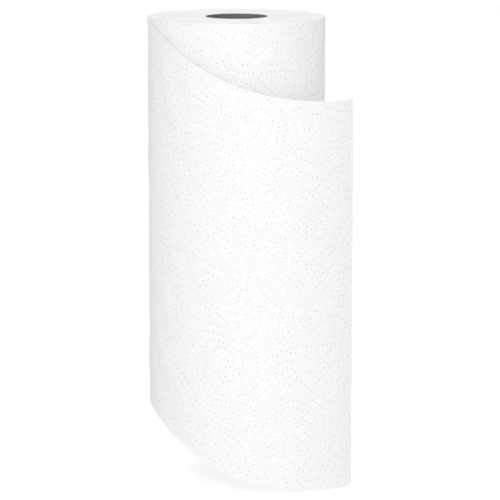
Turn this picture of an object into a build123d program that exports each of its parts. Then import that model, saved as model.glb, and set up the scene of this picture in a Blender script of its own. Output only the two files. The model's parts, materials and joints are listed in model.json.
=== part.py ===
from build123d import *
from math import cos, floor, pi, radians, sin
import os

# Paper towel roll with its first sheet pulled loose. Millimetres. The axis of the roll is +Z
# and the origin is the centre of the core's bore at the lower end of the roll. The web is
# wound so that its outside runs from the left (-X) round the front (-Y) to the right (+X).

# Wound roll
ROLL_RADIUS = 64.0
ROLL_LENGTH = 279.4
PAPER_THICKNESS = 0.5

# Cardboard core
CORE_BORE_RADIUS = 21.5
CORE_WALL = 0.8
GLUE_LINE = 0.1

# Turns seen on the two ends, as one spiral groove for every few layers of paper
TURN_PITCH = 3.6
TURN_GROOVE_WIDTH = 1.0
TURN_GROOVE_DEPTH = 0.35
TURN_EDGE_MARGIN = 1.5

# Loose sheet: it leaves the roll at the left, opens away from it and slips down as it goes
LOOSE_ANGLE = 150.0
LOOSE_OPENING = 31.0
LOOSE_DROP = 54.0
DROP_START_POWER = 1.9
DROP_END_POWER = 3.2
LOOSE_STATIONS = 8

# Perforation that ends the first sheet, at a sheet's length along the web from the free edge
SHEET_LENGTH = 279.4
SLIT_LENGTH = 6.0
SLIT_PITCH = 9.0
SLIT_WIDTH = 0.4
SLIT_DEPTH = 0.3
WALK_STEPS = 200

CORE_OUTER_RADIUS = CORE_BORE_RADIUS + CORE_WALL
WEB_BORE_RADIUS = CORE_OUTER_RADIUS + GLUE_LINE
WOUND_START_RADIUS = ROLL_RADIUS - PAPER_THICKNESS


def half_turn(radius_at_start, pitch, number):
    """Centre and radius of one half circle of a spiral that is drawn as half circles.

    Even numbers run round the front from -X to +X and odd ones back round the rear. Each half
    circle is centred a quarter of the pitch off the axis, so the next one starts where it ends.
    """
    side = 1 if number % 2 == 0 else -1
    centre = side * pitch / 4
    radius = radius_at_start + pitch / 4 + number * pitch / 2
    return centre, radius


def wound_roll():
    """The wound turns: a ring whose outside is one turn of the spiral, with its step at -X."""
    front_centre, front_radius = half_turn(WOUND_START_RADIUS, PAPER_THICKNESS, 0)
    rear_centre, rear_radius = half_turn(WOUND_START_RADIUS, PAPER_THICKNESS, 1)
    left_inner = (-WOUND_START_RADIUS, 0)
    left_outer = (-ROLL_RADIUS, 0)
    right = (front_centre + front_radius, 0)
    front = ThreePointArc(left_inner, (front_centre, -front_radius), right)
    rear = ThreePointArc(right, (rear_centre, rear_radius), left_outer)
    outline = make_face([front, rear, Line(left_outer, left_inner)])
    return extrude(outline - Circle(WEB_BORE_RADIUS), ROLL_LENGTH)


def turn_grooves(end_height, inward):
    """Spiral groove on one end, as half rings of V section. inward is +1 on the lower end."""
    first = WEB_BORE_RADIUS + TURN_EDGE_MARGIN
    last = WOUND_START_RADIUS - TURN_EDGE_MARGIN
    half_count = floor((last - first) / (TURN_PITCH / 2)) - 1
    outside = end_height - inward * TURN_GROOVE_DEPTH
    tip = end_height + inward * TURN_GROOVE_DEPTH
    grooves = []
    for number in range(half_count):
        centre, radius = half_turn(first, TURN_PITCH, number)
        side = -1 if number % 2 == 0 else 1
        middle = centre + side * radius
        section = make_face(Polyline(
            (middle - TURN_GROOVE_WIDTH, 0, outside),
            (middle + TURN_GROOVE_WIDTH, 0, outside),
            (middle, 0, tip),
            close=True,
        ))
        axis = Axis((centre, 0, 0), (0, 0, 1))
        grooves.append(revolve(section, axis, 180))
    return grooves


def loose_plan(share):
    """Where the loose sheet's outside is in plan, and its unit direction, at a share of its way.

    share runs from 0 at the roll to 1 at the free edge, in even steps of angle round the axis.
    The distance from the axis grows with the square of the share.
    """
    angle = pi + radians(LOOSE_ANGLE) * share
    radius = ROLL_RADIUS + LOOSE_OPENING * share**2
    growth = 2 * LOOSE_OPENING * share / radians(LOOSE_ANGLE)
    outward = Vector(cos(angle), sin(angle), 0)
    onward = Vector(-sin(angle), cos(angle), 0)
    return outward * radius, (outward * growth + onward * radius).normalized()


def loose_point(share, inset):
    """A point of the sheet's lower edge, at an inset from its outside towards the roll.

    The edge drops by an ease-in and ease-out of the share, so it is level at both ends.
    """
    place, direction = loose_plan(share)
    drop = LOOSE_DROP * (1 - (1 - share**DROP_START_POWER)**DROP_END_POWER)
    towards_roll = Vector(-direction.Y, direction.X, 0)
    return place + towards_roll * inset - Vector(0, 0, drop)


def loose_edge(inset):
    """One long side of the sheet's lower edge, as a smooth curve."""
    points = [loose_point(station / LOOSE_STATIONS, inset) for station in range(LOOSE_STATIONS + 1)]
    ends = [loose_plan(0)[1], loose_plan(1)[1]]
    return Spline(points, tangents=ends, tangent_scalars=[1, 1])


def loose_sheet():
    """The loose part of the web: its lower edge, a narrow strip, drawn up by the web's width."""
    strip = Face.make_surface_from_curves(loose_edge(0), loose_edge(PAPER_THICKNESS))
    return extrude(strip, ROLL_LENGTH, dir=(0, 0, 1))


def web_place(distance):
    """Lower edge of the web's outside at a distance from its free edge, and its outward direction.

    The way is walked back from the free edge along the loose sheet, in short steps in plan. What
    is left of it at the roll runs on round the rear half circle.
    """
    walked = 0
    for step in range(WALK_STEPS, 0, -1):
        here = loose_plan(step / WALK_STEPS)[0]
        place, direction = loose_plan((step - 1) / WALK_STEPS)
        walked += (place - here).length
        if walked >= distance:
            outward = Vector(direction.Y, -direction.X, 0)
            return loose_point((step - 1) / WALK_STEPS, 0), outward
    centre, radius = half_turn(WOUND_START_RADIUS, PAPER_THICKNESS, 1)
    angle = pi - (distance - walked) / radius
    outward = Vector(cos(angle), sin(angle), 0)
    return Vector(centre, 0, 0) + outward * radius, outward


def perforation():
    """Row of slits across the web that ends its first sheet, as a list of tools."""
    place, outward = web_place(SHEET_LENGTH)
    lower_end = Plane(origin=place, x_dir=outward, z_dir=(0, 0, 1))
    count = floor(ROLL_LENGTH / SLIT_PITCH)
    first = (ROLL_LENGTH - (count - 1) * SLIT_PITCH) / 2
    slit = Box(2 * SLIT_DEPTH, SLIT_WIDTH, SLIT_LENGTH)
    return [lower_end * Pos(0, 0, first + number * SLIT_PITCH) * slit for number in range(count)]


def towel_web():
    """All the paper: the wound turns and the loose sheet that runs on from the last of them."""
    web = wound_roll() + loose_sheet()
    return web - (turn_grooves(0, 1) + turn_grooves(ROLL_LENGTH, -1) + perforation())


def core_tube():
    """The cardboard tube that the web is wound on, cut flush with the paper."""
    return extrude(Circle(CORE_OUTER_RADIUS) - Circle(CORE_BORE_RADIUS), ROLL_LENGTH)


os.makedirs("parts", exist_ok=True)
export_step(towel_web(), "parts/towel_web.step")
export_step(core_tube(), "parts/core_tube.step")
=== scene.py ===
"""Looks of a paper towel roll with its first sheet pulled loose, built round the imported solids.

Lengths are metres in the frame of the solids: the roll's axis is +Z, the origin is the centre of
the core's bore at the roll's lower end, and the web leaves the roll at -X, passes round the front
at -Y and ends at +X.
"""

import json
import logging
from dataclasses import dataclass, field
from enum import Enum
from math import cos, pi, radians, sin, tau

import bpy
import numpy as np
from mathutils import Euler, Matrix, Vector


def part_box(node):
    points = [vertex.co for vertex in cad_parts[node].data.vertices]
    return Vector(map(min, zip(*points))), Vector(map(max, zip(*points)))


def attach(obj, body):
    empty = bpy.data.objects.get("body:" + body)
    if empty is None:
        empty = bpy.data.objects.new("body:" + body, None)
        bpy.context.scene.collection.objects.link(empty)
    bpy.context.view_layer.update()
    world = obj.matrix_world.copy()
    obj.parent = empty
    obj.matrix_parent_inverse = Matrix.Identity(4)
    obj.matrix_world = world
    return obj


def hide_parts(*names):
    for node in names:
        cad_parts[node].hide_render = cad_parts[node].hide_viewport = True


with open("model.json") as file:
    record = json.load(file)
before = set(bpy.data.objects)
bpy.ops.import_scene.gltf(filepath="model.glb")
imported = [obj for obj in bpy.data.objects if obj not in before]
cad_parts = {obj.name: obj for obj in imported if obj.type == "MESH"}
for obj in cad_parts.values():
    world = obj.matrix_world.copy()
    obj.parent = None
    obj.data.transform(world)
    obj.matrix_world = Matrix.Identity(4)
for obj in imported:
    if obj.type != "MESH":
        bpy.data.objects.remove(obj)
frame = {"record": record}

LOG = logging.getLogger("paper_towel_roll")
MM = 0.001
ROOT = "root"
EMBOSS_ATTRIBUTE = "emboss"
LAP_SHADE_ATTRIBUTE = "lap"
LEAST_SLOPE = 1e-9

Colour = tuple[float, float, float]
Place = tuple[float, float, float]
Socket = bpy.types.NodeSocket


class RollEnd(Enum):
    """The two ends of the roll, by the way their face looks along +Z."""

    UPPER = 1
    LOWER = -1


class Medallion(Enum):
    """The closed figures of the emboss pattern, among which its dotted lines wander."""

    CURL = 0
    ROSETTE = 1
    TREFOIL = 2


def grid_faces(rows: int, columns: int, first: int = 0, flip: bool = False) -> np.ndarray:
    """Quads of a grid whose points are numbered row by row.

    Each quad takes a point, the next in its row, and the two above them, so it faces the way of
    the cross product of the row's direction and the column's.

    Args:
        rows: Number of rows of points.
        columns: Number of points in a row.
        first: Number of the grid's first point.
        flip: True to face the other way.

    Returns:
        Point numbers, four to a quad.
    """
    corner = (np.arange(rows - 1)[:, None] * columns + np.arange(columns - 1)).ravel() + first
    quads = np.stack([corner, corner + 1, corner + columns + 1, corner + columns], axis=1)
    return quads[:, ::-1] if flip else quads


def rim_faces(rows: int, columns: int) -> np.ndarray:
    """Quads that join the border of a grid to the border of a like grid behind it.

    The border is walked once round against the clock, and each step of it gives a quad with the
    same step on the grid behind, whose points follow on from those of the first.

    Args:
        rows: Number of rows of points in each grid.
        columns: Number of points in a row.

    Returns:
        Point numbers, four to a quad.
    """
    number = np.arange(rows * columns).reshape(rows, columns)
    border = np.concatenate([number[0], number[1:, -1], number[-1, -2::-1], number[-2:0:-1, 0]])
    following = np.roll(border, -1)
    behind = rows * columns
    return np.stack([border + behind, following + behind, following, border], axis=1)


def split_at_peaks(quads: np.ndarray, height: np.ndarray) -> np.ndarray:
    """Turns each quad's list of corners so that its highest corner comes first.

    A quad is split from its first corner to its third, so the fan round a peak stays even.

    Args:
        quads: Point numbers, four to a face.
        height: One number a point.

    Returns:
        The same faces, with their corners in the new order.
    """
    first = height[quads].argmax(axis=1)
    return np.take_along_axis(quads, (first[:, None] + np.arange(4)) % 4, axis=1)


def mesh_piece(
    name: str,
    points: np.ndarray,
    quads: np.ndarray,
    sharp_angle: float | None = None,
    attributes: dict[str, np.ndarray] | None = None,
) -> bpy.types.Object:
    """Makes a smooth-shaded mesh object at the origin from whole arrays.

    Args:
        name: Name of the piece.
        points: Places of its points, three numbers each.
        quads: Point numbers, four to a face.
        sharp_angle: Edges that turn by more than this are creased, in radians.
        attributes: One number a point, by the name of the attribute.

    Returns:
        The object, linked to the scene.
    """
    mesh = bpy.data.meshes.new(name)
    mesh.vertices.add(len(points))
    mesh.vertices.foreach_set("co", points.astype(np.float32).ravel())
    mesh.loops.add(quads.size)
    mesh.loops.foreach_set("vertex_index", quads.astype(np.int32).ravel())
    mesh.polygons.add(len(quads))
    mesh.polygons.foreach_set("loop_start", np.arange(0, quads.size, 4, dtype=np.int32))
    mesh.update(calc_edges=True)
    mesh.shade_smooth()
    for key, values in (attributes or {}).items():
        layer = mesh.attributes.new(key, "FLOAT", "POINT")
        layer.data.foreach_set("value", values.astype(np.float32).ravel())
    if sharp_angle is not None:
        mesh.set_sharp_from_angle(angle=sharp_angle)
    piece = bpy.data.objects.new(name, mesh)
    bpy.context.scene.collection.objects.link(piece)
    return piece


def report(piece: bpy.types.Object) -> None:
    """Logs a piece's name and how many triangles it has."""
    piece.data.calc_loop_triangles()
    LOG.info("%s: %d triangles", piece.name, len(piece.data.loop_triangles))


@dataclass(frozen=True)
class Grain:
    """The grain of a noise: its size in metres, and how many finer grains lie on it."""

    size: float
    detail: float


class NodeSheet:
    """The node tree of a material or a world, with short calls for adding and joining nodes."""

    def __init__(self, owner: bpy.types.Material | bpy.types.World) -> None:
        """Empties the owner's node tree, to be filled.

        Args:
            owner: The material or the world that the tree belongs to.
        """
        self.owner = owner
        self.owner.use_nodes = True
        self.tree = self.owner.node_tree
        self.tree.nodes.clear()

    @classmethod
    def of_material(cls, name: str) -> "NodeSheet":
        """Starts a new material of that name."""
        return cls(bpy.data.materials.new(name))

    def add(self, kind: str, **settings: object) -> bpy.types.Node:
        """Adds a node.

        Args:
            kind: Blender's name of the node's type.
            settings: Its properties, by name.

        Returns:
            The node.
        """
        node = self.tree.nodes.new(kind)
        for key, value in settings.items():
            setattr(node, key, value)
        return node

    def join(self, output: Socket, target: Socket) -> None:
        """Links an output to an input."""
        self.tree.links.new(output, target)

    def math(self, operation: str, *values: float | Socket) -> Socket:
        """Adds a Math node.

        Args:
            operation: Name of the operation.
            values: Numbers or outputs, one for each input.

        Returns:
            The node's output.
        """
        node = self.add("ShaderNodeMath", operation=operation)
        for socket, value in zip(node.inputs, values):
            if isinstance(value, (int, float)):
                socket.default_value = value
            else:
                self.join(value, socket)
        return node.outputs[0]

    def ramp(self, value: Socket, low: float, high: float) -> Socket:
        """Adds a Map Range node that rises smoothly from 0 to 1.

        Args:
            value: What it reads.
            low: The value at which it leaves 0.
            high: The value at which it reaches 1.

        Returns:
            The node's output.
        """
        node = self.add("ShaderNodeMapRange", interpolation_type="SMOOTHSTEP")
        self.join(value, node.inputs["Value"])
        node.inputs["From Min"].default_value = low
        node.inputs["From Max"].default_value = high
        return node.outputs["Result"]

    def noise(self, place: Socket, grain: Grain) -> Socket:
        """Adds a Noise Texture.

        Args:
            place: The place that it is read at.
            grain: Its size and detail.

        Returns:
            The noise's factor.
        """
        node = self.add("ShaderNodeTexNoise")
        node.inputs["Scale"].default_value = 1 / grain.size
        node.inputs["Detail"].default_value = grain.detail
        self.join(place, node.inputs["Vector"])
        return node.outputs["Fac"]

    def blend(self, share: Socket, first: Colour | Socket, second: Colour | Socket) -> Socket:
        """Adds a colour Mix node, whose colours are inputs 6 and 7 and output 2.

        Args:
            share: How much of the second colour shows.
            first: The first colour, or an output that gives it.
            second: The second colour, or an output that gives it.

        Returns:
            The mixed colour.
        """
        node = self.add("ShaderNodeMix", data_type="RGBA")
        self.join(share, node.inputs[0])
        for socket, value in ((node.inputs[6], first), (node.inputs[7], second)):
            if isinstance(value, tuple):
                socket.default_value = (*value, 1.0)
            else:
                self.join(value, socket)
        return node.outputs[2]

    def bump(self, height: Socket, distance: float, below: Socket | None = None) -> Socket:
        """Adds a Bump node.

        Args:
            height: Its relief, from 0 to 1.
            distance: How high 1 is, in metres.
            below: Another bump that it lies on.

        Returns:
            The normal.
        """
        node = self.add("ShaderNodeBump")
        node.inputs["Distance"].default_value = distance
        self.join(height, node.inputs["Height"])
        if below is not None:
            self.join(below, node.inputs["Normal"])
        return node.outputs["Normal"]

    def matte(
        self, colour: Socket, relief: Socket, roughness: float, gloss: float
    ) -> bpy.types.Material:
        """Ends the sheet with a rough surface.

        Args:
            colour: Its colour.
            relief: Its normal.
            roughness: Its roughness.
            gloss: Its specular level.

        Returns:
            The material.
        """
        shader = self.add("ShaderNodeBsdfPrincipled")
        shader.inputs["Roughness"].default_value = roughness
        shader.inputs["Specular IOR Level"].default_value = gloss
        self.join(colour, shader.inputs["Base Color"])
        self.join(relief, shader.inputs["Normal"])
        return self.close(shader.outputs["BSDF"])

    def close(self, shader: Socket) -> bpy.types.Material:
        """Joins a shader to the material's output.

        Args:
            shader: The shader's output.

        Returns:
            The material.
        """
        output = self.add("ShaderNodeOutputMaterial")
        self.join(shader, output.inputs["Surface"])
        return self.owner


@dataclass(frozen=True)
class PaperFinish:
    """Soft white towel paper: fibres, faint creping across the web, and grey in each dot, partly the
    pressed fibres' own tone and partly painted shade of its pit.
    """

    name: str = "white_towel_paper"
    colour: Colour = (0.94, 0.94, 0.937)
    # The dots' grey: partly the greyer tone of pressed fibres, partly painted shade in the dots'
    # pits.
    dot_grey_and_shade: Colour = (0.745, 0.745, 0.745)
    cloud_colour: Colour = (0.915, 0.915, 0.912)
    clouds: Grain = Grain(14 * MM, 3.0)
    cloud_share: float = 0.8
    dot_edge: float = 0.58
    dot_full: float = 0.76
    fibres: Grain = Grain(0.9 * MM, 4.0)
    fibre_height: float = 0.025 * MM
    crepe: Grain = Grain(0.45 * MM, 2.0)
    crepe_squeeze: float = 0.22
    crepe_height: float = 0.012 * MM
    roughness: float = 0.95
    gloss: float = 0.2

    def material(self) -> bpy.types.Material:
        """Makes the paper's material.

        The creping is a noise whose places are squeezed along Z, so that its grain is drawn out
        upright.

        Returns:
            The material.
        """
        sheet = NodeSheet.of_material(self.name)
        place = sheet.add("ShaderNodeTexCoord").outputs["Object"]
        fibres = sheet.noise(place, self.fibres)
        squeeze = sheet.add("ShaderNodeMapping")
        squeeze.inputs["Scale"].default_value = (1.0, 1.0, self.crepe_squeeze)
        sheet.join(place, squeeze.inputs["Vector"])
        crepe = sheet.noise(squeeze.outputs["Vector"], self.crepe)
        clouds = sheet.noise(place, self.clouds)
        emboss = sheet.add("ShaderNodeAttribute", attribute_name=EMBOSS_ATTRIBUTE).outputs["Fac"]
        # Where the emboss mask is high, the paper takes the dots' grey, which is partly painted
        # shade.
        pressed = sheet.ramp(emboss, self.dot_edge, self.dot_full)
        cloudiness = sheet.math("MULTIPLY", clouds, self.cloud_share)
        cloudy = sheet.blend(cloudiness, self.colour, self.cloud_colour)
        colour_with_painted_shade = sheet.blend(pressed, cloudy, self.dot_grey_and_shade)
        relief = sheet.bump(fibres, self.fibre_height)
        relief = sheet.bump(crepe, self.crepe_height, relief)
        return sheet.matte(colour_with_painted_shade, relief, self.roughness, self.gloss)


@dataclass(frozen=True)
class CutEdgeFinish:
    """The sawn ends of the roll: thin layers of paper side by side, with painted shade in the fine
    gaps between them.
    """

    name: str = "cut_paper_layers"
    colour: Colour = (0.96, 0.96, 0.957)
    painted_gap_shade: Colour = (0.76, 0.76, 0.755)
    layer: float = 0.4 * MM
    layer_height: float = 0.03 * MM
    crest_slope: float = 4.0
    drift: Grain = Grain(9 * MM, 2.0)
    unevenness: float = 0.35 * MM
    fuzz: Grain = Grain(0.7 * MM, 3.0)
    fuzz_height: float = 0.02 * MM
    roughness: float = 0.95
    gloss: float = 0.2

    def material(self) -> bpy.types.Material:
        """Makes the material of the roll's ends.

        The layers are a wave of the distance from the axis in layers, less the share of a turn, so
        that they run on as a spiral. Noise shifts them a little. The wave is made steeper and cut
        off at 1, which leaves a broad flat crest; towards its trough the colour darkens to painted
        shade in the gaps between layers.

        Returns:
            The material.
        """
        sheet = NodeSheet.of_material(self.name)
        place = sheet.add("ShaderNodeTexCoord").outputs["Object"]
        parts = sheet.add("ShaderNodeSeparateXYZ")
        sheet.join(place, parts.inputs[0])
        x, y = parts.outputs["X"], parts.outputs["Y"]
        squares = sheet.math("ADD", sheet.math("MULTIPLY", x, x), sheet.math("MULTIPLY", y, y))
        turned = sheet.math("DIVIDE", sheet.math("ARCTAN2", y, x), tau)
        drift = sheet.noise(place, self.drift)
        shift = sheet.math("MULTIPLY", drift, self.unevenness / self.layer)
        distance = sheet.math("DIVIDE", sheet.math("SQRT", squares), self.layer)
        layers = sheet.math("SUBTRACT", distance, turned)
        wave = sheet.math("PINGPONG", sheet.math("ADD", layers, shift), 0.5)
        crest = sheet.math("MINIMUM", sheet.math("MULTIPLY", wave, self.crest_slope), 1.0)
        # Painted shade in the gaps between layers, darkest where the wave is lowest.
        colour_with_painted_shade = sheet.blend(crest, self.painted_gap_shade, self.colour)
        relief = sheet.bump(crest, self.layer_height)
        relief = sheet.bump(sheet.noise(place, self.fuzz), self.fuzz_height, relief)
        return sheet.matte(colour_with_painted_shade, relief, self.roughness, self.gloss)


@dataclass(frozen=True)
class BoardFinish:
    """Grey recycled board: short fibres, paler clouds, dark flecks, a faint sheen."""

    name: str = "grey_core_board"
    colour: Colour = (0.175, 0.166, 0.146)
    pale_colour: Colour = (0.238, 0.229, 0.206)
    clouds: Grain = Grain(11 * MM, 3.0)
    fleck_colour: Colour = (0.10, 0.094, 0.082)
    flecks: Grain = Grain(1.5 * MM, 6.0)
    fleck_edge: float = 0.59
    fleck_full: float = 0.70
    fleck_share: float = 0.6
    # How dark the painted shade along the lap's edge is.
    lap_share: float = 0.75
    fibres: Grain = Grain(0.8 * MM, 5.0)
    fibre_height: float = 0.05 * MM
    roughness: float = 0.85
    gloss: float = 0.3

    def material(self) -> bpy.types.Material:
        """Makes the board's material, with painted shade drawn as a dark line along the lap's edge.

        Returns:
            The material.
        """
        sheet = NodeSheet.of_material(self.name)
        place = sheet.add("ShaderNodeTexCoord").outputs["Object"]
        fibres = sheet.noise(place, self.fibres)
        clouds = sheet.noise(place, self.clouds)
        flecks = sheet.noise(place, self.flecks)
        specks = sheet.ramp(flecks, self.fleck_edge, self.fleck_full)
        speck = sheet.math("MULTIPLY", specks, self.fleck_share)
        # The lap's edge takes painted shade, joined with the board's own dark flecks.
        lap = sheet.add("ShaderNodeAttribute", attribute_name=LAP_SHADE_ATTRIBUTE).outputs["Fac"]
        dark = sheet.math("MAXIMUM", speck, sheet.math("MULTIPLY", lap, self.lap_share))
        base = sheet.blend(clouds, self.colour, self.pale_colour)
        colour_with_painted_shade = sheet.blend(dark, base, self.fleck_colour)
        relief = sheet.bump(fibres, self.fibre_height)
        return sheet.matte(colour_with_painted_shade, relief, self.roughness, self.gloss)


@dataclass(frozen=True)
class Petals:
    """A ring of dots in a medallion: its share of the radius, and its petals' number and depth."""

    size: float
    count: int
    depth: float


@dataclass
class EmbossPattern:
    """A generic dotted pattern that repeats along the web and across it.

    A few medallions are scattered first. Dotted lines then fill the room between them: each
    follows the level lines of a sum of waves, a step at a time, until it comes near other dots.
    """

    repeat_along: float = 150.0 * MM
    repeat_across: float = 139.7 * MM
    dot_pitch: float = 3.6 * MM
    closest: float = 3.0 * MM
    line_tries: int = 2500
    line_gap: float = 4.9 * MM
    line_clear: float = 3.6 * MM
    shortest_line: int = 4
    longest_line: int = 40
    substeps: int = 6
    medallions: int = 9
    medallion_tries: int = 4000
    medallion_gap: float = 34.0 * MM
    smallest_radius: float = 8.5 * MM
    largest_radius: float = 11.5 * MM
    curve_points: int = 400
    curl_turns: float = 1.75
    curl_inner: float = 0.16
    curl_power: float = 0.8
    rosette: tuple[Petals, ...] = (Petals(1.0, 5, 0.16), Petals(0.42, 5, 0.0))
    trefoil: tuple[Petals, ...] = (Petals(0.95, 3, 0.22), Petals(0.34, 3, 0.0))
    waves: int = 9
    fewest_in_repeat: float = 1.9
    most_in_repeat: float = 3.7
    seed: int = 7

    def __post_init__(self) -> None:
        """Draws the waves whose level lines the dotted lines follow.

        A wave runs a whole number of times along the repeat and across it, and the root of the
        two squares lies between the fewest and the most. Its height goes with its length.
        """
        self.random = np.random.default_rng(self.seed)
        self.repeat = np.array([self.repeat_along, self.repeat_across])
        top = int(np.ceil(self.most_in_repeat))
        along, across = np.meshgrid(np.arange(-top, top + 1), np.arange(top + 1), indexing="ij")
        order = np.hypot(along, across)
        wanted = (order >= self.fewest_in_repeat) & (order <= self.most_in_repeat)
        wanted &= (across > 0) | (along > 0)
        pairs = np.stack([along[wanted], across[wanted]], axis=1)
        pairs = pairs[self.random.permutation(len(pairs))[: self.waves]]
        self.vectors = tau * pairs / self.repeat
        self.phases = self.random.uniform(0, tau, len(pairs))
        self.heights = 1 / np.linalg.norm(self.vectors, axis=1)

    def nearest(self, place: np.ndarray, dots: np.ndarray) -> float:
        """Distance from a place to the nearest dot, with the pattern's repeats counted in.

        Args:
            place: Two numbers, along the web and across it.
            dots: The dots, two numbers each.

        Returns:
            The distance, or infinity if there are no dots.
        """
        if len(dots) == 0:
            return np.inf
        gaps = dots - place
        gaps -= np.round(gaps / self.repeat) * self.repeat
        return float(np.sqrt((gaps**2).sum(axis=1).min()))

    def level_direction(self, place: np.ndarray) -> np.ndarray:
        """Direction of the level line at a place: the sum's slope, turned by a right angle.

        Args:
            place: Two numbers, along the web and across it.

        Returns:
            The unit direction.
        """
        angles = self.vectors @ place + self.phases
        slope = -(self.heights * np.sin(angles)) @ self.vectors
        return np.array([-slope[1], slope[0]]) / max(float(np.linalg.norm(slope)), LEAST_SLOPE)

    def even_dots(self, curve: np.ndarray) -> np.ndarray:
        """Dots at even steps of length along a curve, about a dot's pitch apart.

        Args:
            curve: Many close points, two numbers each.

        Returns:
            The dots, with one on each end of the curve.
        """
        length = np.concatenate([[0], np.cumsum(np.linalg.norm(np.diff(curve, axis=0), axis=1))])
        count = max(round(length[-1] / self.dot_pitch), 1)
        steps = np.linspace(0, length[-1], count + 1)
        return np.stack([np.interp(steps, length, curve[:, axis]) for axis in (0, 1)], axis=1)

    def curl(self, radius: float) -> np.ndarray:
        """A spiral whose radius grows from an inner share with a power of the share of its way.

        Args:
            radius: Its outer radius.

        Returns:
            Its dots.
        """
        share = np.linspace(0, 1, self.curve_points)
        distance = radius * (self.curl_inner + (1 - self.curl_inner) * share**self.curl_power)
        angle = tau * self.curl_turns * share
        return self.even_dots(np.stack([distance * np.cos(angle), distance * np.sin(angle)], axis=1))

    def flower(self, petals: Petals, radius: float) -> np.ndarray:
        """A ring whose radius waves once for each petal.

        Args:
            petals: Its share of the medallion's radius, and its petals.
            radius: The medallion's radius.

        Returns:
            Its dots.
        """
        angle = np.linspace(0, tau, self.curve_points)
        distance = petals.size * radius * (1 + petals.depth * np.cos(petals.count * angle))
        ring = np.stack([distance * np.cos(angle), distance * np.sin(angle)], axis=1)
        return self.even_dots(ring)[:-1]

    def medallion(self, kind: Medallion, radius: float) -> np.ndarray:
        """The dots of one medallion, round its own centre.

        Args:
            kind: Which figure it is.
            radius: Its radius.

        Returns:
            Its dots.
        """
        if kind is Medallion.CURL:
            return self.curl(radius)
        rings = self.rosette if kind is Medallion.ROSETTE else self.trefoil
        return np.vstack([self.flower(petals, radius) for petals in rings])

    def scattered_medallions(self) -> np.ndarray:
        """Medallions of each kind in turn, at random places that keep a gap, turned at random.

        Returns:
            Their dots.
        """
        centres = np.zeros((0, 2))
        dots = np.zeros((0, 2))
        for place in self.random.uniform(0, 1, (self.medallion_tries, 2)) * self.repeat:
            if len(centres) == self.medallions:
                break
            if self.nearest(place, centres) < self.medallion_gap:
                continue
            kind = Medallion(len(centres) % len(Medallion))
            angle = self.random.uniform(0, tau)
            turn = np.array([[cos(angle), sin(angle)], [-sin(angle), cos(angle)]])
            radius = self.random.uniform(self.smallest_radius, self.largest_radius)
            dots = np.vstack([dots, self.medallion(kind, radius) @ turn + place])
            centres = np.vstack([centres, place])
        return dots

    def half_line(
        self, start: np.ndarray, sense: int, line: list[np.ndarray], dots: np.ndarray
    ) -> list[np.ndarray]:
        """Follows the level line one way from a start, until it comes near other dots.

        Args:
            start: Where it starts.
            sense: +1 or -1, the way it goes.
            line: The line's dots so far, which it must not come back to.
            dots: The dots of everything before it.

        Returns:
            The dots after the start, in order.
        """
        run: list[np.ndarray] = []
        place = start
        while len(run) < self.longest_line:
            for _ in range(self.substeps):
                place = place + sense * self.level_direction(place) * self.dot_pitch / self.substeps
            own = (line + run)[:-2]
            if self.nearest(place, dots) < self.line_clear:
                break
            if own and self.nearest(place, np.array(own)) < self.line_clear:
                break
            run.append(place)
        return run

    def thinned(self, dots: np.ndarray) -> np.ndarray:
        """Leaves out each dot that has an earlier one nearer than the closest they may be.

        Args:
            dots: The dots, two numbers each.

        Returns:
            Those that stay.
        """
        gaps = dots[:, None] - dots
        gaps -= np.round(gaps / self.repeat) * self.repeat
        near = np.hypot(gaps[..., 0], gaps[..., 1]) < self.closest
        return dots[~np.tril(near, -1).any(axis=1)]

    def dots(self) -> np.ndarray:
        """Draws the pattern: the medallions first, and then lines from random starts.

        Returns:
            The dots of one repeat, as distances along the web and across it.
        """
        dots = self.scattered_medallions()
        for start in self.random.uniform(0, 1, (self.line_tries, 2)) * self.repeat:
            if self.nearest(start, dots) < self.line_gap:
                continue
            onward = self.half_line(start, 1, [start], dots)
            back = self.half_line(start, -1, onward[::-1] + [start], dots)
            line = back[::-1] + [start] + onward
            if len(line) >= self.shortest_line:
                dots = np.vstack([dots, np.array(line)])
        return self.thinned(dots) % self.repeat

    def over(self, length: float, width: float) -> np.ndarray:
        """Repeats the pattern over a stretch of web.

        Args:
            length: The stretch's length.
            width: The web's width.

        Returns:
            Its dots, as distances along the web and across it.
        """
        copies = np.stack(np.meshgrid(
            np.arange(np.ceil(length / self.repeat_along)),
            np.arange(np.ceil(width / self.repeat_across)),
            indexing="ij",
        ), axis=-1).reshape(-1, 1, 2)
        spread = (self.dots()[None] + copies * self.repeat).reshape(-1, 2)
        return spread[(spread[:, 0] < length) & (spread[:, 1] < width)]


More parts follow.
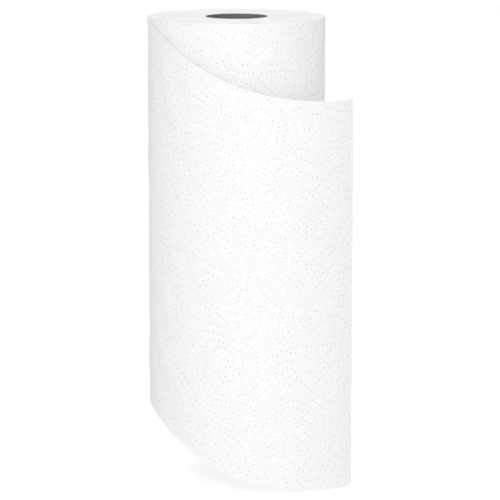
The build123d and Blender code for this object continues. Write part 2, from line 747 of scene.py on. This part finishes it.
@dataclass
class TowelWeb:
    """The paper: one web, wound into the roll, with its last stretch loose.

    A place on it is given by its distance along the web from the free edge, and its height above
    the web's lower edge.
    """

    paper: PaperFinish = field(default_factory=PaperFinish)
    cut_edge: CutEdgeFinish = field(default_factory=CutEdgeFinish)
    pattern: EmbossPattern = field(default_factory=EmbossPattern)
    thickness: float = 0.5 * MM
    glue_line: float = 0.1 * MM
    loose_angle: float = radians(150.0)
    loose_opening: float = 31.0 * MM
    drop_start_power: float = 1.9
    drop_end_power: float = 3.2
    table_points: int = 4001
    sheet_sharp_angle: float = radians(50.0)
    sheet_length: float = 279.4 * MM
    slit_pitch: float = 9.0 * MM
    slit_length: float = 6.0 * MM
    slit_half_width: float = 0.2 * MM
    slit_depth: float = 0.3 * MM
    tie_stub: float = 0.3 * MM
    cell: float = 1.071 * MM
    dot_depth: float = 0.22 * MM
    dot_rim_radius: float = 0.8 * MM
    dot_rim_share: float = 0.55
    faintest_dot: float = 0.76
    fullest_dot: float = 1.06
    show_through: float = 0.62
    quilt_depth: float = 0.16 * MM
    quilt_radius: float = 1.35 * MM
    quilt_reach: int = 4
    quilt_calm: float = 3.0 * MM
    pillow_waves: int = 14
    shortest_pillow: float = 14 * MM
    longest_pillow: float = 48 * MM
    pillow_height: float = 0.05 * MM
    pillow_calm: float = 8.0 * MM
    relief_seed: int = 41
    groove_pitch: float = 3.6 * MM
    groove_half_width: float = 0.5 * MM
    groove_depth: float = 0.35 * MM
    groove_margin: float = 1.5 * MM
    groove_fade: float = 0.12
    layers_in_groove_pitch: int = 4
    layer_depth: float = 0.10 * MM
    layer_power: int = 4
    layer_unevenness: float = 0.11 * MM
    layer_middle: float = 0.5
    layer_waves: int = 9
    slowest_layer_wave: float = 0.7
    fastest_layer_wave: float = 2.3
    layer_seed: int = 5
    end_rings: int = 208
    end_spokes: int = 360
    end_sharp_angle: float = radians(60.0)

    def __post_init__(self) -> None:
        """Takes the roll's sizes from the solids, and draws what is random about the relief.

        The loose sheet's length is tabulated by the share of its way. The wound turn is two half
        circles, each kept as its centre's X and its radius. Most dots are pressed nearly fully,
        because a dot's weakness is the square of an even draw.
        """
        low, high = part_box("towel_web")
        _, core_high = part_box("core_tube")
        self.radius = -low.x
        self.width = high.z
        self.loose_drop = -low.z
        self.bore_radius = core_high.x + self.glue_line
        self.share_table = np.linspace(0, 1, self.table_points)
        places, _ = self.loose_plan(self.share_table)
        steps = np.linalg.norm(np.diff(places, axis=0), axis=1)
        self.length_table = np.concatenate([[0], np.cumsum(steps)])
        self.loose_length = float(self.length_table[-1])
        quarter = self.thickness / 4
        self.front_arc = (quarter, self.radius - self.thickness + quarter)
        self.rear_arc = (-quarter, self.radius - quarter)
        self.web_length = self.loose_length + pi * (self.rear_arc[1] + self.front_arc[1])
        self.all_dots = self.pattern.over(self.web_length, self.width)
        random = np.random.default_rng(self.relief_seed)
        lengths = random.uniform(self.shortest_pillow, self.longest_pillow, self.pillow_waves)
        ways = self.unit(random.uniform(0, pi, self.pillow_waves))
        self.pillow_vectors = tau / lengths[:, None] * ways
        self.pillow_phases = random.uniform(0, tau, self.pillow_waves)
        weakness = random.uniform(0, 1, len(self.all_dots)) ** 2
        self.dot_press = self.fullest_dot - (self.fullest_dot - self.faintest_dot) * weakness
        self.dot_slope = self.slope(self.all_dots[:, 0])

    @staticmethod
    def unit(angle: np.ndarray) -> np.ndarray:
        """Unit vectors at those angles from +X."""
        return np.stack([np.cos(angle), np.sin(angle)], axis=-1)

    def loose_plan(self, share: np.ndarray) -> tuple[np.ndarray, np.ndarray]:
        """The loose sheet's outside in plan, by the share of its way in even steps of angle.

        The distance from the axis grows with the square of the share. The outward direction is
        the way of the curve, turned to the right.

        Args:
            share: From 0 at the roll to 1 at the free edge.

        Returns:
            Places and outward unit directions, two numbers each.
        """
        angle = pi + self.loose_angle * share
        outward = self.unit(angle)
        onward = self.unit(angle + pi / 2)
        distance = (self.radius + self.loose_opening * share**2)[:, None]
        growth = (2 * self.loose_opening * share / self.loose_angle)[:, None]
        way = outward * growth + onward * distance
        way /= np.linalg.norm(way, axis=1, keepdims=True)
        return outward * distance, np.stack([way[:, 1], -way[:, 0]], axis=1)

    def plan(self, along: np.ndarray) -> tuple[np.ndarray, np.ndarray, np.ndarray]:
        """Where the web's outside is in plan, at distances along it from the free edge.

        The loose stretch is read from its table, and its drop eases in and out with powers of the
        share. The wound stretch is two half circles with centres a quarter of the paper's
        thickness off the axis: the rear one first, then the front.

        Args:
            along: Distances from the free edge.

        Returns:
            Places, outward unit directions, and how far the web has dropped there.
        """
        share = np.interp(self.loose_length - along, self.length_table, self.share_table)
        place, outward = self.loose_plan(share)
        drop = self.loose_drop * (1 - (1 - share**self.drop_start_power) ** self.drop_end_power)
        wound = along - self.loose_length
        rear_length = pi * self.rear_arc[1]
        on_rear = wound <= rear_length
        centre = np.where(on_rear, self.rear_arc[0], self.front_arc[0])
        radius = np.where(on_rear, self.rear_arc[1], self.front_arc[1])
        start = np.where(on_rear, pi, 0.0)
        direction = self.unit(start - (wound - np.where(on_rear, 0.0, rear_length)) / radius)
        wound_place = direction * radius[:, None]
        wound_place[:, 0] += centre
        is_wound = wound > 0
        place = np.where(is_wound[:, None], wound_place, place)
        outward = np.where(is_wound[:, None], direction, outward)
        return place, outward, np.where(is_wound, 0.0, drop)

    def slope(self, along: np.ndarray) -> np.ndarray:
        """How fast the web's drop grows with the distance from the free edge, over a short step."""
        step = self.cell / 2
        return (self.plan(along + step)[2] - self.plan(along - step)[2]) / (2 * step)

    def heights(self) -> np.ndarray:
        """The heights of the rows of points across the web."""
        return np.linspace(0, self.width, round(self.width / self.cell) + 1)

    def in_slit(self, up: np.ndarray) -> np.ndarray:
        """Which heights lie in a slit of the perforation.

        The slits are spaced evenly, as many as fit, with equal margins at the web's two edges.

        Args:
            up: Heights above the web's lower edge.

        Returns:
            True for each height in a slit.
        """
        count = np.floor(self.width / self.slit_pitch)
        first = (self.width - (count - 1) * self.slit_pitch) / 2
        number = (up - first) / self.slit_pitch
        return np.abs(number - np.rint(number)) * self.slit_pitch < self.slit_length / 2

    def calm(self, height: np.ndarray, margin: float) -> np.ndarray:
        """A share that rises smoothly from 0 at the web's two edges to 1.

        Args:
            height: Heights above the web's lower edge.
            margin: How far from an edge it reaches 1.

        Returns:
            Shares, of the same form.
        """
        share = np.clip(np.minimum(height, self.width - height) / margin, 0, 1)
        return share * share * (3 - 2 * share)

    def quilting(
        self, along: np.ndarray, up: np.ndarray, column: np.ndarray, row: np.ndarray
    ) -> np.ndarray:
        """How far the dots draw in the paper round them, so that it stands proud between them.

        Each dot adds a bell curve of the distance from it, with the web's slope there taken out.
        A sum s of them draws in by 1 less the exponential of -s, times the depth.

        Args:
            along: Distances of the columns from the free edge.
            up: Heights of the rows.
            column: Number of the column nearest to each dot.
            row: Number of the row nearest to each dot.

        Returns:
            Depths, a row by column array.
        """
        total = np.zeros((len(up), len(along)))
        for side in range(-self.quilt_reach, self.quilt_reach + 1):
            for rise in range(-self.quilt_reach, self.quilt_reach + 1):
                there = (row + rise >= 0) & (row + rise < len(up))
                there &= (column + side >= 0) & (column + side < len(along))
                at = (row[there] + rise, column[there] + side)
                away = along[at[1]] - self.all_dots[there, 0]
                above = up[at[0]] - self.all_dots[there, 1] - self.dot_slope[there] * away
                gap = np.hypot(away, above)
                np.add.at(total, at, np.exp(-0.5 * (gap / self.quilt_radius) ** 2))
        return (1 - np.exp(-total)) * self.quilt_depth * self.calm(up, self.quilt_calm)[:, None]

    def pressed_grid(
        self, along: np.ndarray, up: np.ndarray
    ) -> tuple[np.ndarray, np.ndarray, np.ndarray, np.ndarray]:
        """A grid on the flat web, quilted, drawn together round each dot and pressed in there.

        The point nearest to a dot moves onto it, and its eight neighbours move onto a ring that
        is round where the web lies, because the web's slope is taken out. The point on the dot is
        pressed in by the dot's own press, and the ring by a share of it. A point that two dots
        claim stays where it was. No dot is pressed at the border of the grid, or within two cells
        of the perforation.

        Args:
            along: Distances of the columns from the free edge, falling.
            up: Heights of the rows, rising.

        Returns:
            Distances along, heights, depths and emboss shares, each a row by column array.
        """
        columns, rows = len(along), len(up)
        shift = np.zeros((rows, columns, 2))
        press = np.zeros((rows, columns))
        claims = np.zeros((rows, columns))
        column = np.abs(along[None] - self.all_dots[:, :1]).argmin(axis=1)
        row = np.rint(self.all_dots[:, 1] / (up[1] - up[0])).astype(int)
        quilted = self.quilting(along, up, column, row)
        inside = (column > 1) & (column < columns - 2) & (row > 1) & (row < rows - 2)
        inside &= np.abs(self.all_dots[:, 0] - self.sheet_length) > 2 * self.cell
        dots, column, row = self.all_dots[inside], column[inside], row[inside]
        strength, slope = self.dot_press[inside], self.dot_slope[inside]
        for side in (-1, 0, 1):
            for rise in (-1, 0, 1):
                reach = self.dot_rim_radius / max(float(np.hypot(side, rise)), 1.0)
                lift = rise * reach - slope * side * reach
                target = dots + np.stack([np.full_like(lift, -side * reach), lift], axis=1)
                here = np.stack([along[column + side], up[row + rise]], axis=1)
                at = (row + rise, column + side)
                np.add.at(shift, at, target - here)
                np.add.at(press, at, strength * (1.0 if side == rise == 0 else self.dot_rim_share))
                np.add.at(claims, at, 1.0)
        shift[claims > 1] = 0.0
        press[claims > 1] = 0.0
        distance = along[None] + shift[..., 0]
        height = up[:, None] + shift[..., 1]
        return distance, height, quilted + press * self.dot_depth, press

    def pillows(self, distance: np.ndarray, height: np.ndarray) -> np.ndarray:
        """Soft swells of the paper: a sum of waves of the place on the web, calm at its two edges.

        Args:
            distance: Distances from the free edge.
            height: Heights above the web's lower edge.

        Returns:
            How far the paper stands out, of the same form.
        """
        angles = (
            distance[..., None] * self.pillow_vectors[:, 0]
            + height[..., None] * self.pillow_vectors[:, 1]
            + self.pillow_phases
        )
        return self.pillow_height * np.cos(angles).sum(axis=-1) * self.calm(height, self.pillow_calm)

    def lay(self, distance: np.ndarray, height: np.ndarray, outwards: np.ndarray) -> np.ndarray:
        """Carries places of the flat web to where the web lies.

        Args:
            distance: Distances along from the free edge.
            height: Heights above the web's lower edge.
            outwards: How far each point stands out from the web's outside.

        Returns:
            Places in space, three numbers each.
        """
        place, outward, drop = self.plan(distance.ravel())
        flat = place + outward * outwards.reshape(-1, 1)
        return np.column_stack([flat, height.ravel() - drop])

    def dress(self, piece: bpy.types.Object, material: bpy.types.Material) -> bpy.types.Object:
        """Gives a piece of the web its material, slot and body, and reports it.

        Args:
            piece: The piece.
            material: Its material.

        Returns:
            The piece.
        """
        piece.data.materials.append(material)
        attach(piece, ROOT)
        report(piece)
        return piece

    def loose_sheet(self) -> bpy.types.Object:
        """The loose stretch, a closed sheet: its outside, the same surface set in, and a rim.

        At the free edge the small ties of the perforation stand out as stubs. The dots' grey, partly
        painted shade, shows through on the inside, a little paler.

        Returns:
            The piece.
        """
        columns = round(self.loose_length / self.cell) + 1
        along = np.linspace(self.loose_length, 0, columns)
        up = self.heights()
        distance, height, depth, press = self.pressed_grid(along, up)
        distance[:, -1] = np.where(self.in_slit(up), 0.0, -self.tie_stub)
        swell = self.pillows(distance, height) - depth
        outside = self.lay(distance, height, swell)
        inside = self.lay(distance, height, swell - self.thickness)
        rows = len(up)
        # The inside takes a paler share of the dots' grey, which is partly painted shade.
        emboss = np.concatenate([press.ravel(), self.show_through * press.ravel()])
        quads = np.vstack([
            grid_faces(rows, columns),
            grid_faces(rows, columns, first=rows * columns, flip=True),
            rim_faces(rows, columns),
        ])
        piece = mesh_piece(
            "loose_sheet",
            np.vstack([outside, inside]),
            split_at_peaks(quads, emboss),
            sharp_angle=self.sheet_sharp_angle,
            attributes={EMBOSS_ATTRIBUTE: emboss},
        )
        return piece

    def wound_wall(self) -> bpy.types.Object:
        """The outermost wound turn, from the loose stretch back round the rear and the front.

        The perforation is a narrow dashed groove, one sheet's length from the free edge, with
        painted shade in its slits. Three columns of points across it take the place of the nearest
        one.

        Returns:
            The piece.
        """
        wound_length = self.web_length - self.loose_length
        along = np.linspace(self.web_length, self.loose_length, round(wound_length / self.cell) + 1)
        slit = np.abs(along - self.sheet_length).argmin()
        along = np.concatenate([
            along[:slit],
            self.sheet_length + self.slit_half_width * np.array([1, 0, -1]),
            along[slit + 1:],
        ])
        up = self.heights()
        distance, height, depth, press = self.pressed_grid(along, up)
        in_slit = self.in_slit(up)
        depth[in_slit, slit + 1] = self.slit_depth
        # The slits take the dots' full grey, as painted shade in the perforation's groove.
        press[in_slit, slit + 1] = 1.0
        outside = self.lay(distance, height, self.pillows(distance, height) - depth)
        return mesh_piece(
            "wound_wall",
            outside,
            split_at_peaks(grid_faces(len(up), len(along)), press.ravel()),
            attributes={EMBOSS_ATTRIBUTE: press},
        )

    def outline_radius(self, angle: np.ndarray) -> np.ndarray:
        """Distance of the roll's outline from the axis.

        A circle of that radius with its centre off the axis is met by a ray from the axis at the
        centre's share along the ray plus the leg that is left of the radius.

        Args:
            angle: Angles, from pi at -X round the front.

        Returns:
            Distances, of the same form.
        """
        front = angle <= tau
        centre = np.where(front, self.front_arc[0], self.rear_arc[0])
        radius = np.where(front, self.front_arc[1], self.rear_arc[1])
        return centre * np.cos(angle) + np.sqrt(radius**2 - (centre * np.sin(angle)) ** 2)

    def end_relief(self, distance: np.ndarray, angle: np.ndarray) -> np.ndarray:
        """How far the roll's end lies below its highest plane.

        The turn number is the distance from the first turn over the groove's pitch, less the
        share of the turn. A V groove runs where it is whole, and fades in and out at its two
        ends. Between two grooves lie a few layers, each with a rounded top, and each lower by a
        sum of waves of the way along the spiral, where that isn't under 0. They fade out over two
        cells at the outline.

        Args:
            distance: Distances from the axis.
            angle: Angles, from pi at -X round the front.

        Returns:
            Depths, of the same form.
        """
        turned = (angle - pi) / tau
        first = self.bore_radius + self.groove_margin
        number = (distance - first) / self.groove_pitch - turned
        off_groove = np.abs(number - np.rint(number)) * self.groove_pitch
        groove = np.clip(1 - off_groove / self.groove_half_width, 0, 1) * self.groove_depth
        last = (self.radius - self.thickness - self.groove_margin - first) / self.groove_pitch - 1
        cut_so_far = np.rint(number) + turned
        groove *= np.clip(np.minimum(cut_so_far, last - cut_so_far) / self.groove_fade, 0, 1)
        layer = number * self.layers_in_groove_pitch
        rounded = (2 * (layer - np.floor(layer)) - 1) ** self.layer_power * self.layer_depth
        way = np.floor(layer) / self.layers_in_groove_pitch + turned
        random = np.random.default_rng(self.layer_seed)
        rate = random.uniform(self.slowest_layer_wave, self.fastest_layer_wave, self.layer_waves)
        phase = random.uniform(0, tau, self.layer_waves)
        wave = np.sin(tau * rate * way[..., None] + phase).sum(axis=-1) / self.layer_waves
        uneven = (self.layer_middle + wave) * self.layer_unevenness
        rim = np.clip((self.outline_radius(angle) - distance) / (2 * self.cell), 0, 1)
        return np.maximum(groove, (rounded + np.maximum(uneven, 0)) * rim)

    def end_face(self, end: RollEnd) -> bpy.types.Object:
        """One end of the roll with its half of the paper's bore.

        Rings of points run from half way up the bore to the edge and on to the outline, each from
        -X round the front and the rear.

        Args:
            end: Which end.

        Returns:
            The piece.
        """
        turn = np.linspace(pi, pi + tau, self.end_spokes + 1)
        outer = self.outline_radius(turn)
        outer[-1] = self.radius
        share = np.linspace(0, 1, self.end_rings + 1)[:, None]
        distance = self.bore_radius + (outer - self.bore_radius) * share
        angle = np.broadcast_to(turn, distance.shape)
        depth = self.end_relief(distance, angle)
        end_height = self.width if end is RollEnd.UPPER else 0.0
        height = end_height - end.value * depth
        bore_height = np.array([[self.width / 2], [end_height]]) + np.zeros_like(turn)
        distance = np.vstack([np.full_like(bore_height, self.bore_radius), distance])
        height = np.vstack([bore_height, height])
        points = np.stack([distance * np.cos(turn), distance * np.sin(turn), height], axis=-1)
        rows, columns = distance.shape
        quads = grid_faces(rows, columns, flip=end is RollEnd.UPPER)
        name = f"{end.name.lower()}_end"
        return mesh_piece(name, points.reshape(-1, 3), quads, sharp_angle=self.end_sharp_angle)

    def build(self) -> None:
        """Builds and dresses every piece of the web. They stand for the solid together."""
        paper = self.paper.material()
        cut_edge = self.cut_edge.material()
        wall = self.dress(self.wound_wall(), paper)
        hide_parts("towel_web")
        self.dress(self.loose_sheet(), paper)
        for end in RollEnd:
            self.dress(self.end_face(end), cut_edge)


@dataclass
class CardboardCore:
    """The tube that the web is wound on: board strips wound in a helix, with a raised lap."""

    finish: BoardFinish = field(default_factory=BoardFinish)
    lead: float = 96.0 * MM
    lap_turn: float = 0.47
    lap_height: float = 0.15 * MM
    lap_share: float = 0.006
    around: int = 168
    stations: int = 72
    rim_round: float = 0.12 * MM
    sharp_angle: float = radians(40.0)

    def __post_init__(self) -> None:
        """Takes the tube's sizes from its solid and from the bore mount."""
        _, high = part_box("core_tube")
        mount = frame["record"]["mounts"][0]
        self.bore_radius = mount["dims"]["r_mm"] * MM
        self.outer_radius = high.x
        self.length = high.z

    def tube(self) -> bpy.types.Object:
        """The tube as a closed ring of points in section, carried up while it turns.

        The section goes up the bore, over the top, down the outside and back. The angle of each
        point starts at the lap's turn and grows with its height by one turn in each lead, so that
        one line of points is the helical lap, where the bore's radius steps by the lap's height.

        Returns:
            The piece.
        """
        share = np.linspace(0, 1, self.around, endpoint=False)
        share = np.sort(np.concatenate([share[share > 2 * self.lap_share], [0.0, self.lap_share]]))
        inset = self.rim_round
        climb = np.linspace(inset, self.length - inset, self.stations)
        heights = np.concatenate([climb, [self.length, self.length], climb[::-1], [0.0, 0.0]])
        lap = self.lap_height * np.where(share < self.lap_share / 2, 0.0, 1 - share)
        inner = np.broadcast_to(self.bore_radius + lap, (self.stations, len(share)))
        rims = np.array([self.bore_radius + inset, self.outer_radius - inset])
        rounded = np.broadcast_to(rims[:, None], (len(rims), len(share)))
        outer = np.full((self.stations, len(share)), self.outer_radius)
        distance = np.vstack([inner, rounded, outer, rounded[::-1]])
        angle = tau * (share + self.lap_turn + heights[:, None] / self.lead)
        points = np.stack([
            distance * np.cos(angle),
            distance * np.sin(angle),
            np.broadcast_to(heights[:, None], distance.shape),
        ], axis=-1)
        rows, columns = distance.shape
        number = np.arange(rows * columns).reshape(rows, columns)
        right, above = np.roll(number, -1, axis=1), np.roll(number, -1, axis=0)
        corner = np.roll(above, -1, axis=1)
        quads = np.stack([number, above, corner, right], axis=-1).reshape(-1, 4)
        # The points along the lap's edge carry painted shade, drawn dark in the board's material.
        lap_edge_shade = np.zeros((rows, columns))
        lap_edge_shade[: self.stations, 0] = 1.0
        return mesh_piece(
            "core_board_tube",
            points.reshape(-1, 3),
            quads,
            sharp_angle=self.sharp_angle,
            attributes={LAP_SHADE_ATTRIBUTE: lap_edge_shade},
        )

    def build(self) -> None:
        """Builds and dresses the core."""
        piece = self.tube()
        piece.data.materials.append(self.finish.material())
        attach(piece, ROOT)
        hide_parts("core_tube")
        report(piece)


@dataclass(frozen=True)
class Softbox:
    """A soft square lamp: where it stands, the length of its side, and its power in watts."""

    name: str
    place: Place
    side: float
    power: float


@dataclass
class Studio:
    """The plain white studio: floor, soft light, and the camera at the photograph's angle."""

    floor_gap: float = 0.5 * MM
    floor_size: float = 12.0
    floor_colour: Colour = (0.86, 0.86, 0.86)
    floor_glow: float = 0.44
    background: Colour = (1.0, 1.0, 1.0)
    ambient: float = 0.62
    light_bounces: int = 24
    lamps: tuple[Softbox, ...] = (
        Softbox("front_softbox", (-0.2, -3.4, 1.3), 2.6, 49.0),
        Softbox("top_softbox", (0.0, 0.1, 2.4), 2.5, 14.6),
        Softbox("rear_softbox", (0.5, 3.4, 1.3), 2.0, 8.0),
    )
    lamp_target: Place = (0.0, 0.0, 0.14)
    camera_place: Place = (0.0, -2.0, 0.4523)
    camera_yaw: float = radians(0.274)
    camera_pitch: float = radians(9.73)
    lens: float = 201.01
    sensor: float = 36.0
    near_clip: float = 0.05
    far_clip: float = 100.0

    def camera(self) -> None:
        """Places the camera: level in roll, turned a little to +X and tilted down."""
        data = bpy.data.cameras.new("camera")
        data.lens = self.lens
        data.sensor_width = self.sensor
        data.clip_start = self.near_clip
        data.clip_end = self.far_clip
        camera = bpy.data.objects.new("camera", data)
        camera.location = self.camera_place
        camera.rotation_euler = Euler((pi / 2 - self.camera_pitch, 0.0, -self.camera_yaw))
        bpy.context.scene.collection.objects.link(camera)
        bpy.context.scene.camera = camera

    def floor(self) -> None:
        """A plain floor. Seen straight, it glows a little, so that it is white where it is lit."""
        low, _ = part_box("towel_web")
        half = self.floor_size / 2
        level = low.z - self.floor_gap
        points = np.array([
            (-half, -half, level),
            (half, -half, level),
            (-half, half, level),
            (half, half, level),
        ])
        floor = mesh_piece("studio_floor", points, grid_faces(2, 2))
        sheet = NodeSheet.of_material("studio_floor")
        diffuse = sheet.add("ShaderNodeBsdfDiffuse")
        diffuse.inputs["Color"].default_value = (*self.floor_colour, 1.0)
        glow = sheet.add("ShaderNodeEmission")
        sheet.join(self.straight_ray(sheet, self.floor_glow), glow.inputs["Strength"])
        both = sheet.add("ShaderNodeAddShader")
        sheet.join(diffuse.outputs[0], both.inputs[0])
        sheet.join(glow.outputs[0], both.inputs[1])
        floor.data.materials.append(sheet.close(both.outputs[0]))

    @staticmethod
    def straight_ray(sheet: NodeSheet, strength: float) -> Socket:
        """A strength for rays of the camera, of gloss and of clear parts, and none for the rest.

        Args:
            sheet: The sheet that its nodes are added to.
            strength: The strength for those rays.

        Returns:
            The strength for the ray at hand.
        """
        path = sheet.add("ShaderNodeLightPath")
        seen = sheet.math("MAXIMUM", path.outputs["Is Camera Ray"], path.outputs["Is Glossy Ray"])
        seen = sheet.math("MAXIMUM", seen, path.outputs["Is Transmission Ray"])
        return sheet.math("MULTIPLY", seen, strength)

    def world(self) -> None:
        """White where it is seen straight, and a plain grey-white light for the rest."""
        world = bpy.data.worlds.new("studio")
        bpy.context.scene.world = world
        sheet = NodeSheet(world)
        background = sheet.add("ShaderNodeBackground")
        background.inputs["Color"].default_value = (*self.background, 1.0)
        lift = self.straight_ray(sheet, 1.0 - self.ambient)
        sheet.join(sheet.math("ADD", lift, self.ambient), background.inputs["Strength"])
        output = sheet.add("ShaderNodeOutputWorld")
        sheet.join(background.outputs[0], output.inputs["Surface"])

    def lamp(self, softbox: Softbox) -> None:
        """Adds a lamp that looks at the middle of the roll.

        Args:
            softbox: The lamp's name, place, side and power.
        """
        data = bpy.data.lights.new(softbox.name, "AREA")
        data.size = softbox.side
        data.energy = softbox.power
        lamp = bpy.data.objects.new(softbox.name, data)
        lamp.location = softbox.place
        direction = Vector(self.lamp_target) - Vector(softbox.place)
        lamp.rotation_euler = direction.to_track_quat("-Z", "Y").to_euler()
        bpy.context.scene.collection.objects.link(lamp)

    def build(self) -> None:
        """Sets the studio up.

        Light may bounce many times between the white surfaces, which keeps narrow gaps pale.
        """
        scene = bpy.context.scene
        scene.view_settings.view_transform = "Standard"
        scene.cycles.diffuse_bounces = self.light_bounces
        scene.cycles.max_bounces = self.light_bounces
        self.camera()
        self.floor()
        self.world()
        for softbox in self.lamps:
            self.lamp(softbox)


def main() -> None:
    """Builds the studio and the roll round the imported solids."""
    logging.basicConfig(level=logging.INFO, format="%(message)s")
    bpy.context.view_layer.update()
    Studio().build()
    TowelWeb().build()
    CardboardCore().build()


if __name__ == "__main__":
    main()
